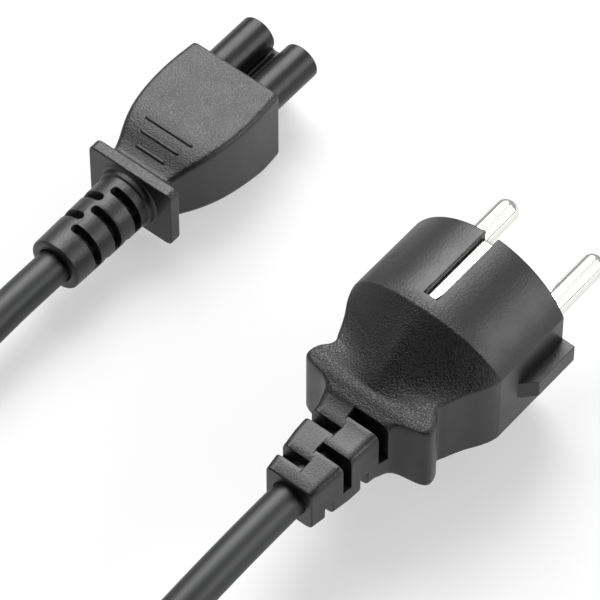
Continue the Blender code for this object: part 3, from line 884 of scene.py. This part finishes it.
rib_mesh = grown(
    "neck_ribs",
    rib_tree(overmould_pvc),
    {
        "Surface": connector_overmould,
        "Count": RIB_COUNT,
        "Start": (connector_face - RIB_FIRST, connector_y, RIB_DROP_FROM),
        "Pitch": RIB_PITCH,
        "Half Length": RIB_HALF_LENGTH,
        "Shortening": RIB_SHORTENING,
        "Radius": RIB_RADIUS,
        "Sink": RIB_SINK,
    },
)
mark_grain(rib_mesh, lambda places, normals: np.full(len(places), RIB_GRAIN))
add_piece("neck_ribs", rib_mesh, overmould_pvc, "overmould")

# Contact carrier and contacts
# Hard black nylon, moulded smooth, with three round lobes that key it to the appliance. A brass sleeve sits
# back in each lobe, so that nothing live can be touched.

NOSE_ROOT = 0.0078
NOSE_EDGE = 0.00035
CONTACT_HOLE = 0.00185
CONTACT_HOLE_DEPTH = 0.0145
HOLE_RIM = 0.00015
SLEEVE_OUTSIDE = 0.00155
SLEEVE_INSIDE = 0.00120
SLEEVE_SETBACK = 0.0020
SLEEVE_REACH = 0.0120
SLEEVE_EDGE = 0.0001
BORE_SIDES = 32
CUTTER_REACH = 0.001

# Nylon from a polished mould: deep black and even, glossier than the overmould, with a faint flow mottle.
nylon, nylon_tree, nylon_shader = new_material("carrier_nylon", "101010", roughness=0.34, ior=1.41)
FLOW_MM = 1.6
FLOW_DEPTH = 0.00003
place = add_node(nylon_tree, "ShaderNodeTexCoord").outputs["Object"]
flow = add_node(
    nylon_tree, "ShaderNodeTexNoise", {"Vector": place, "Scale": 1000 / FLOW_MM, "Detail": 3.0}
)
work_in(nylon_tree, nylon_shader, flow, gloss=(0.28, 0.42), depth=FLOW_DEPTH, strength=0.3)

nose_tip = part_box("connector_insert")[1].x
nose_rings = []
for back, inset in rim_steps(NOSE_EDGE):
    nose_rings.append([(nose_tip - back, y, z) for y, z in nose_outline(LOBE_RADIUS - inset)])
nose_rings.append([(connector_face - NOSE_ROOT, y, z) for y, z in nose_outline(LOBE_RADIUS)])


def bore(start, end, radius, middle, sides=BORE_SIDES):
    """A round cutter about a line along X."""
    return turned("bore", ((start, radius), (end, radius)), middle, sides)


hole_floor, hole_mouth = nose_tip - CONTACT_HOLE_DEPTH, nose_tip + CUTTER_REACH
contact_holes = [bore(hole_floor, hole_mouth, CONTACT_HOLE, middle) for middle in lobe_middles]
nose_mesh = carved(loft("contact_carrier", nose_rings), contact_holes, rim=HOLE_RIM)
add_piece("contact_carrier", nose_mesh, nylon, "insert", "connector_insert")


def sleeve_tree(material):
    """Geometry nodes: one rolled sleeve, copied to each point of the mesh that carries the tree."""
    kinds = {"Places": "Geometry", "Outside": "Float", "Inside": "Float", "Length": "Float"}
    tree, given = new_tree("contact_sleeves", kinds)
    wall = add_node(
        tree, "ShaderNodeMath", {0: given["Outside"], 1: given["Inside"]}, operation="SUBTRACT"
    )
    middle = add_node(
        tree, "ShaderNodeMath", {0: wall, 1: 0.5, 2: given["Inside"]}, operation="MULTIPLY_ADD"
    )
    ring = add_node(tree, "GeometryNodeCurvePrimitiveCircle", {"Resolution": BORE_SIDES, "Radius": middle})
    shape = add_node(
        tree, "GeometryNodeCurvePrimitiveQuadrilateral", {"Width": wall, "Height": given["Length"]}
    )
    soft = add_node(
        tree,
        "GeometryNodeFilletCurve",
        {"Curve": shape, "Count": 3, "Radius": SLEEVE_EDGE},
        mode="POLY",
    )
    sleeve = add_node(tree, "GeometryNodeCurveToMesh", {"Curve": ring, "Profile Curve": soft})
    lying = add_node(
        tree, "GeometryNodeTransform", {"Geometry": sleeve, "Rotation": (0.0, math.pi / 2, 0.0)}
    )
    copies = add_node(
        tree, "GeometryNodeInstanceOnPoints", {"Points": given["Places"], "Instance": lying}
    )
    return ended_tree(tree, copies, material)


# Rolled brass, drawn bright: a warm metal whose shine is broken up by an even haze, drawn coarser than it
# is so that it shows.
brass, brass_tree, brass_shader = new_material("rolled_brass", "C9A25A", roughness=0.3, metallic=1.0)
BRASS_HAZE_MM = 0.4
place = add_node(brass_tree, "ShaderNodeTexCoord").outputs["Object"]
brass_marks = add_node(brass_tree, "ShaderNodeTexNoise", {"Vector": place, "Scale": 1000 / BRASS_HAZE_MM})
work_in(brass_tree, brass_shader, brass_marks, gloss=(0.22, 0.40))

sleeve_middle = nose_tip - SLEEVE_SETBACK - SLEEVE_REACH / 2
sleeve_mesh = grown(
    "contact_sleeves",
    sleeve_tree(brass),
    {"Outside": SLEEVE_OUTSIDE, "Inside": SLEEVE_INSIDE, "Length": SLEEVE_REACH},
    [(sleeve_middle, y, z) for y, z in lobe_middles],
)
add_piece(
    "contact_sleeves", sleeve_mesh, brass, "brass", "contact_line", "contact_neutral", "contact_earth"
)

# Plug overmould
# One shot of soft black PVC: a round barrel with a flat and a guide block on each side, a grip that scoops
# in to a finger stop, and a square tapering relief with slots cut in from its corners.

BARREL_RADIUS = 0.0179
FLAT_HALF_WIDTH = 0.0160
CREASE_AT = 0.0175
CREASE_CROWN = 0.0024
SCOOP_END = 0.0326
SCOOP_RIDGE_FALL = 1.0
SCOOP_EDGE_FALL = 2.8
RIDGE_SOFTNESS = 0.0005
RIDGE_SLOPE = 0.9
PLUG_SIDE_MM = (
    # back, half width, side height, corner rounding
    (17.5, 16.00, 8.03, 0.25),
    (18.6, 15.75, 8.03, 0.30),
    (20.5, 15.00, 8.03, 0.35),
    (23.5, 13.30, 8.03, 0.45),
    (26.8, 11.85, 8.03, 0.60),
    (28.6, 11.25, 8.02, 0.75),
    (29.6, 11.75, 8.00, 0.90),
    (30.6, 12.70, 7.95, 1.00),
    (31.6, 13.25, 7.90, 1.05),
    (32.6, 13.50, 7.85, 1.10),
    (33.4, 13.45, 7.75, 1.15),
    (34.0, 12.95, 7.65, 1.20),
    (34.4, 12.00, 7.55, 1.25),
    (34.7, 10.60, 7.45, 1.30),
    (35.0, 9.20, 7.35, 1.35),
    (35.5, 8.00, 7.20, 1.45),
    (36.2, 7.30, 7.00, 1.60),
    (37.2, 6.93, 6.60, 1.70),
    (46.0, 5.95, 5.75, 1.50),
    (54.5, 5.00, 4.90, 1.40),
)
BARREL_EDGE = 0.00045
GRIP_WAIST = 0.0280
STOP_FOOT = 0.0372
RELIEF_EDGE = 0.0003
RELIEF_END = 0.0545
RELIEF_SLOT_WIDTH = 0.0019
RELIEF_SLOT_FIRST = 0.0376
RELIEF_SLOT_PITCH = 0.00425
RELIEF_SLOTS = 4
RELIEF_SLOT_FLOOR = 0.0039
RELIEF_SLOT_REACH = (-0.0016, 0.0019)
RELIEF_SLOT_LAP = 4
RELIEF_SLOT_POINTS = 12
RECESS_RADIUS = 0.00345
RECESS_DEPTH = 0.0020
CROWN_POINTS = 61
SIDE_POINTS = 9
CREASE_STEP = 0.0002
STOP_STEP = 0.00022
STOP_SAMPLES = 400
BARREL_RINGS = 8
SCOOP_RINGS = 24
RELIEF_RINGS = 9
GUIDE_HALF_HEIGHT = 0.0020
GUIDE_RISE = 0.0026
GUIDE_LENGTH = 0.0100
GUIDE_SINK = 0.0005
GUIDE_SETBACK = 0.0001
GROOVE_HALF_WIDTH = 0.0013
GROOVE_END = 0.0169
GROOVE_FLOOR = 0.0155
PLUG_RIM = 0.00018
BRIDGE_HALF_WIDTH = 0.0135
BRIDGE_HALF_HEIGHT = 0.0046
BRIDGE_DEPTH = 0.0080
PIN_SPACING = 0.0190
PIN_RADIUS = 0.0024
EARTH_SOCKET_DROP = 0.0100
EARTH_SOCKET_RADIUS = 0.0031
EARTH_SOCKET_DEPTH = 0.0130
WIDE_BORE_SIDES = 48
PLUG_SIDE_GRAIN = 0.05
BARREL_GRAIN = 0.18
SCOOP_GRAIN = 0.90
SCOOP_GRAIN_REACH = (0.002, 0.0365)
PLUG_SLOPES = (0.15, 0.50)

corner_height = math.sqrt(BARREL_RADIUS**2 - FLAT_HALF_WIDTH**2)


def plug_ring(back, inset=0.0):
    """A section of the plug. The crown's points are moved back, so that one ring is the curved crease."""
    half, side, rounding = through(PLUG_SIDE_MM, max(back, CREASE_AT) * 1000) / 1000
    depth = (back - CREASE_AT) / (SCOOP_END - CREASE_AT)
    left = min(1.0, max(0.0, 1 - depth))

    def crown(y):
        wide = min(1.0, abs(y) / half)
        soft = math.sqrt(wide**2 + (RIDGE_SOFTNESS / half) ** 2) - RIDGE_SOFTNESS / half
        rise = math.sqrt(BARREL_RADIUS**2 - (wide * FLAT_HALF_WIDTH) ** 2) - corner_height
        soft *= RIDGE_SLOPE + (1 - RIDGE_SLOPE) * soft
        fall = SCOOP_RIDGE_FALL + (SCOOP_EDGE_FALL - SCOOP_RIDGE_FALL) * soft
        return side + rise * left**fall

    ring = section(half, -side, side, crown, lambda y: -crown(y), rounding, CROWN_POINTS, SIDE_POINTS)
    wide = np.clip(np.abs(ring[:, 0]) / half, 0, 1)
    crowned = ease((np.abs(ring[:, 1]) - side + rounding) / rounding)
    moved = CREASE_CROWN * (1 - wide**2) * crowned * min(back / CREASE_AT, left)
    ring = pinched(ring, inset)
    return [(plug_face.x - back - shift, plug_y + y, plug_axis + z) for shift, (y, z) in zip(moved, ring)]


def relief_slot_cutter(row, up):
    """An angle-shaped slot over one corner of the relief, down to the cord's own wall."""
    front = plug_face.x - RELIEF_SLOT_FIRST - RELIEF_SLOT_PITCH * row + RELIEF_SLOT_WIDTH / 2
    side = -up if row % 2 == 0 else up
    far, low = FLAT_HALF_WIDTH, RELIEF_SLOT_REACH[row % 2]
    turn_end = math.degrees(math.asin(low / RELIEF_SLOT_FLOOR))
    outline = arc((0, 0), RELIEF_SLOT_FLOOR, 90 + RELIEF_SLOT_LAP, turn_end, RELIEF_SLOT_POINTS)
    outline += [(far, low), (far, far), (outline[0][0], far)]
    outline = [(plug_y + side * y, plug_axis + up * z) for y, z in outline]
    return prism("slot", outline, front - RELIEF_SLOT_WIDTH, front)


def guide_block(side):
    """A bar on the flat that keys the plug into the socket, chamfered at its rear end."""
    foot, top = FLAT_HALF_WIDTH - GUIDE_SINK, FLAT_HALF_WIDTH + GUIDE_RISE
    profile = [(-GUIDE_SETBACK, foot), (-GUIDE_SETBACK, top), (-GUIDE_LENGTH, top)]
    profile += [(-GUIDE_LENGTH - GUIDE_RISE, FLAT_HALF_WIDTH), (-GUIDE_LENGTH - GUIDE_RISE, foot)]
    rings = [
        [(plug_face.x + x, plug_y + side * y, plug_axis + z) for x, y in profile]
        for z in (-GUIDE_HALF_HEIGHT, GUIDE_HALF_HEIGHT)
    ]
    return loft("guide", rings)


def stadium(half_width, half_height, count=24):
    """A long round-ended outline about the plug's axis."""
    run = half_width - half_height
    right_end = arc((plug_y + run, plug_axis), half_height, -90, 90, count)
    return right_end + arc((plug_y - run, plug_axis), half_height, 90, 270, count)


def groove_cutter(up):
    """A cutter for the groove along the barrel's top or underside."""
    low, high = plug_axis + up * GROOVE_FLOOR, plug_axis + up * (BARREL_RADIUS + CUTTER_REACH)
    near, far = plug_y - GROOVE_HALF_WIDTH, plug_y + GROOVE_HALF_WIDTH
    outline = [(near, low), (far, low), (far, high), (near, high)]
    return prism("groove", outline, plug_face.x - GROOVE_END, plug_face.x + CUTTER_REACH)


def even_backs(start, end, step):
    """Places of rings, spaced evenly along the outline that the plug has from above."""
    places = np.linspace(start, end, STOP_SAMPLES)
    halves = [through(PLUG_SIDE_MM, place * 1000)[0] / 1000 for place in places]
    run = distances(np.stack([places, halves], axis=1))
    return np.interp(np.arange(step, run[-1], step), run, places).tolist()


plug_backs = np.linspace(BARREL_EDGE, CREASE_AT - CREASE_STEP, BARREL_RINGS).tolist()
plug_backs += [CREASE_AT, CREASE_AT + CREASE_STEP]
plug_backs += np.linspace(CREASE_AT + 3 * CREASE_STEP, GRIP_WAIST, SCOOP_RINGS).tolist()
plug_backs += even_backs(GRIP_WAIST, STOP_FOOT, STOP_STEP)
plug_backs += np.linspace(STOP_FOOT, RELIEF_END - RELIEF_EDGE, RELIEF_RINGS).tolist()
plug_rings = [plug_ring(back, inset) for back, inset in rim_steps(BARREL_EDGE)[:-1]]
plug_rings += [plug_ring(back) for back in plug_backs]
relief_steps = reversed(rim_steps(RELIEF_EDGE, count=3)[:-1])
plug_rings += [plug_ring(RELIEF_END - back, inset) for back, inset in relief_steps]
plug_middle = (plug_y, plug_axis)
earth_middle = (plug_y, plug_axis - EARTH_SOCKET_DROP)
plug_mouth = plug_face.x + CUTTER_REACH
bridge_outline = stadium(BRIDGE_HALF_WIDTH + POCKET_GAP, BRIDGE_HALF_HEIGHT + POCKET_GAP)
socket_floor, socket_radius = plug_face.x - EARTH_SOCKET_DEPTH, EARTH_SOCKET_RADIUS + POCKET_GAP
plug_cutters = [relief_slot_cutter(row, up) for row in range(RELIEF_SLOTS) for up in (1, -1)]
plug_cutters += [
    groove_cutter(1),
    groove_cutter(-1),
    bore(plug_low.x - CUTTER_REACH, plug_low.x + RECESS_DEPTH, RECESS_RADIUS, plug_middle, WIDE_BORE_SIDES),
    prism("bridge_pocket", bridge_outline, plug_face.x - BRIDGE_DEPTH, plug_mouth),
    bore(socket_floor, plug_mouth, socket_radius, earth_middle, WIDE_BORE_SIDES),
]
plug_mesh = carved(
    loft("plug_overmould", plug_rings), plug_cutters, [guide_block(1), guide_block(-1)], rim=PLUG_RIM
)


def plug_grain(places, normals):
    """Deepest in the scoops of the grip, finer on the barrel, and nearly smooth on the upright sides."""
    back = plug_face.x - places[:, 0]
    start, end = SCOOP_GRAIN_REACH
    scooped = ease((back - CREASE_AT) / start) * (back < end)
    lying = lying_share(normals, PLUG_SLOPES)
    return PLUG_SIDE_GRAIN + lying * (BARREL_GRAIN + SCOOP_GRAIN * scooped)


mark_grain(plug_mesh, plug_grain)
add_piece("plug_overmould", plug_mesh, overmould_pvc, "overmould", "plug_body")

# Pins and their bridge
# Two solid brass pins, turned with domed ends and nickel-plated, stand in a hard black plastic bridge that
# was loaded into the mould with them.

PIN_REACH = 0.0190
PIN_ROOT = 0.0120
BRIDGE_EDGE = 0.0003
BRIDGE_SETBACK = 0.0001
PIN_HOLE_GAP = 0.00012
PIN_SIDES = 64
PIN_TIP_DEGREES = 88
PIN_TIP_RINGS = 13

# Bright nickel plate: a warm white mirror, a little softened by the drawn metal's lengthwise marks, which
# are coarser here than they are so that they show.
nickel, nickel_tree, nickel_shader = new_material("nickel_plate", "E3E3E0", roughness=0.12, metallic=1.0)
NICKEL_MARK_MM = 0.15
NICKEL_MARK_LENGTH_MM = 25
place = add_node(nickel_tree, "ShaderNodeTexCoord").outputs["Object"]
mark_scale = (1000 / NICKEL_MARK_LENGTH_MM, 1000 / NICKEL_MARK_MM, 1000 / NICKEL_MARK_MM)
drawn = add_node(nickel_tree, "ShaderNodeMapping", {"Vector": place, "Scale": mark_scale})
nickel_marks = add_node(nickel_tree, "ShaderNodeTexNoise", {"Vector": drawn, "Scale": 1.0, "Detail": 2.0})
work_in(nickel_tree, nickel_shader, nickel_marks, gloss=(0.08, 0.18))

for name, side in (("pin_line", 1), ("pin_neutral", -1)):
    stations = [(plug_face.x - PIN_ROOT, PIN_RADIUS), (plug_face.x + SMALL_STEP, PIN_RADIUS)]
    dome = plug_face.x + PIN_REACH - PIN_RADIUS
    for turn in np.radians(np.linspace(0, PIN_TIP_DEGREES, PIN_TIP_RINGS)):
        stations.append((dome + PIN_RADIUS * math.sin(turn), PIN_RADIUS * math.cos(turn)))
    middle = (plug_y + side * PIN_SPACING / 2, plug_axis)
    add_piece(f"{name}_plated", turned(name, stations, middle, PIN_SIDES), nickel, "nickel", name)

bridge_rings = []
for back, inset in rim_steps(BRIDGE_EDGE, count=3):
    outline = stadium(BRIDGE_HALF_WIDTH - inset, BRIDGE_HALF_HEIGHT - inset)
    bridge_rings.append([(plug_face.x - BRIDGE_SETBACK - back, y, z) for y, z in outline])
outline = stadium(BRIDGE_HALF_WIDTH, BRIDGE_HALF_HEIGHT)
bridge_rings.append([(plug_face.x - BRIDGE_DEPTH + BRIDGE_SETBACK, y, z) for y, z in outline])
hole_floor = plug_face.x - BRIDGE_DEPTH - CUTTER_REACH
pin_middles = [(plug_y + side * PIN_SPACING / 2, plug_axis) for side in (1, -1)]
hole_radius = PIN_RADIUS + PIN_HOLE_GAP
pin_holes = [bore(hole_floor, plug_mouth, hole_radius, middle, WIDE_BORE_SIDES) for middle in pin_middles]
bridge_mesh = carved(loft("bridge", bridge_rings), pin_holes, rim=HOLE_RIM)
add_piece("bridge", bridge_mesh, nylon, "insert", "pin_bridge")

# Earth contact
# One strip of nickel-plated bronze, bent so that its two arms lie sunk in the grooves above and below, with
# a rolled socket for the wall's own earth pin.

STRIP_HALF_WIDTH = 0.00122
STRIP_TOP = 0.0165
STRIP_THICKNESS = 0.0008
STRIP_EDGE = 0.00028
STRIP_START = 0.0003
STRIP_STOPS = (0.0166, 0.0100, 0.0050)
STRIP_BEND = 0.0012
STRIP_BEND_DEGREES = 80
STRIP_BEND_RINGS = 7
SOCKET_WALL = 0.0006
SOCKET_RIM = 0.0002
SOCKET_LIP = 0.00005
BAR_AT = 0.0130
BAR_HALF_WIDTH = 0.00102


def strip_ring(x, z, tilt, up):
    """The strip's section at a point of its bend, softly rounded along both edges."""
    half, low = STRIP_HALF_WIDTH, -STRIP_THICKNESS
    flat = section(half, low, 0, lambda y: 0.0, lambda y: low, STRIP_EDGE, across=5, upright=3)
    return [
        (x + rise * math.sin(tilt), plug_y + y, plug_axis + up * (z + rise * math.cos(tilt)))
        for y, rise in flat
    ]


earth_shapes = []
for up in (1, -1):
    rings = [strip_ring(plug_face.x - back, STRIP_TOP, 0, up) for back in STRIP_STOPS]
    for tilt in np.radians(np.linspace(0, STRIP_BEND_DEGREES, STRIP_BEND_RINGS)):
        x = plug_face.x - STRIP_START - STRIP_BEND * (1 - math.sin(tilt))
        z = STRIP_TOP - STRIP_BEND * (1 - math.cos(tilt))
        rings.append(strip_ring(x, z, tilt, up))
    earth_shapes.append(loft("strip", rings))
bar_half = STRIP_TOP - STRIP_THICKNESS / 2
bar_outline = [(plug_y + y * BAR_HALF_WIDTH, plug_axis + z * bar_half) for y, z in SQUARE]
bar_front = plug_face.x - BAR_AT + STRIP_THICKNESS / 2
earth_blank = prism("earth_contact_strip", bar_outline, bar_front - STRIP_THICKNESS, bar_front)
socket_mouth = plug_face.x - STRIP_START
socket_inside = EARTH_SOCKET_RADIUS - SOCKET_WALL
socket_stations = [(bar_front - SMALL_STEP, EARTH_SOCKET_RADIUS)]
for back, inset in reversed(rim_steps(SOCKET_RIM, count=3)):
    socket_stations.append((socket_mouth - back, EARTH_SOCKET_RADIUS - inset))
socket_stations += [(socket_mouth - SOCKET_RIM, socket_inside + SOCKET_LIP)]
socket_stations += [(bar_front + SOCKET_WALL, socket_inside)]
earth_shapes.append(turned("socket", socket_stations, earth_middle, WIDE_BORE_SIDES))
earth_mesh = carved(earth_blank, joined=earth_shapes)
add_piece("earth_strip", earth_mesh, nickel, "nickel", "earth_contact")

# Coil tie
# A flat black vinyl strap with a wire through its middle, wrapped once round all the turns and pressed
# flat on the far side of the coil.

STRAP_HALF_WIDTH = 0.0025
STRAP_THICKNESS = 0.0005
STRAP_CORNER = 0.0016
STRAP_ROOM = 0.0001
WIRE_HALF_WIDTH = 0.00045
WIRE_RISE = 0.00027
STRAP_CORNER_POINTS = 8
WIRE_POINTS = 7
tie_low, tie_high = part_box("coil_tie")
tie_y = (tie_low.y + tie_high.y) / 2
tie_middle = np.array(((tie_low.x + tie_high.x) / 2, WIRE_RISE / 2))
tie_reach = np.array(((tie_high.x - tie_low.x) / 2, -WIRE_RISE / 2))
strap_top = LAYER_HEIGHTS[1] + TIE_LIFT + CORD_DIAMETER / 2 + STRAP_ROOM + STRAP_THICKNESS
tie_middle[1] += strap_top / 2
tie_reach[1] += strap_top / 2
strap_line = []
for quarter, signs in enumerate(((1, 1), (-1, 1), (-1, -1), (1, -1))):
    center = tie_middle + signs * (tie_reach - STRAP_CORNER)
    strap_line += arc(center, STRAP_CORNER, 90 * quarter, 90 * quarter + 90, STRAP_CORNER_POINTS)
strap_line = np.array(strap_line)
inner_reach = tie_reach - STRAP_CORNER
strap_outward = strap_line - np.clip(strap_line, tie_middle - inner_reach, tie_middle + inner_reach)
strap_outward /= np.linalg.norm(strap_outward, axis=1)[:, None]
strap_section = [(-STRAP_HALF_WIDTH, -STRAP_THICKNESS), (STRAP_HALF_WIDTH, -STRAP_THICKNESS)]
strap_section += [(STRAP_HALF_WIDTH, 0.0)]
wire = arc((0, 0), 1, 0, 180, WIRE_POINTS)
strap_section += [(WIRE_HALF_WIDTH * y, WIRE_RISE * out) for y, out in wire]
strap_section += [(-STRAP_HALF_WIDTH, 0.0)]
strap_points = []
for (x, z), (out_x, out_z) in zip(strap_line, strap_outward):
    for y, out in strap_section:
        strap_points.append((x + out * out_x, tie_y + y, z + out * out_z))
strap_faces = bands(len(strap_line), len(strap_section), closed=True)
strap_mesh = skin("tie_strap", strap_points, strap_faces)
settle_shading(strap_mesh, ROUND_CREASE)

# Calendered vinyl: black, supple and slightly shiny, with a faint leathery mottle.
vinyl, vinyl_tree, vinyl_shader = new_material("strap_vinyl", "1F1F20", roughness=0.4, ior=1.53)
MOTTLE_MM = 0.8
MOTTLE_DEPTH = 0.00005
place = add_node(vinyl_tree, "ShaderNodeTexCoord").outputs["Object"]
vinyl_mottle = add_node(vinyl_tree, "ShaderNodeTexNoise", {"Vector": place, "Scale": 1000 / MOTTLE_MM})
work_in(vinyl_tree, vinyl_shader, vinyl_mottle, depth=MOTTLE_DEPTH, strength=0.6)
add_piece("tie_strap", strap_mesh, vinyl, "tie", "coil_tie")
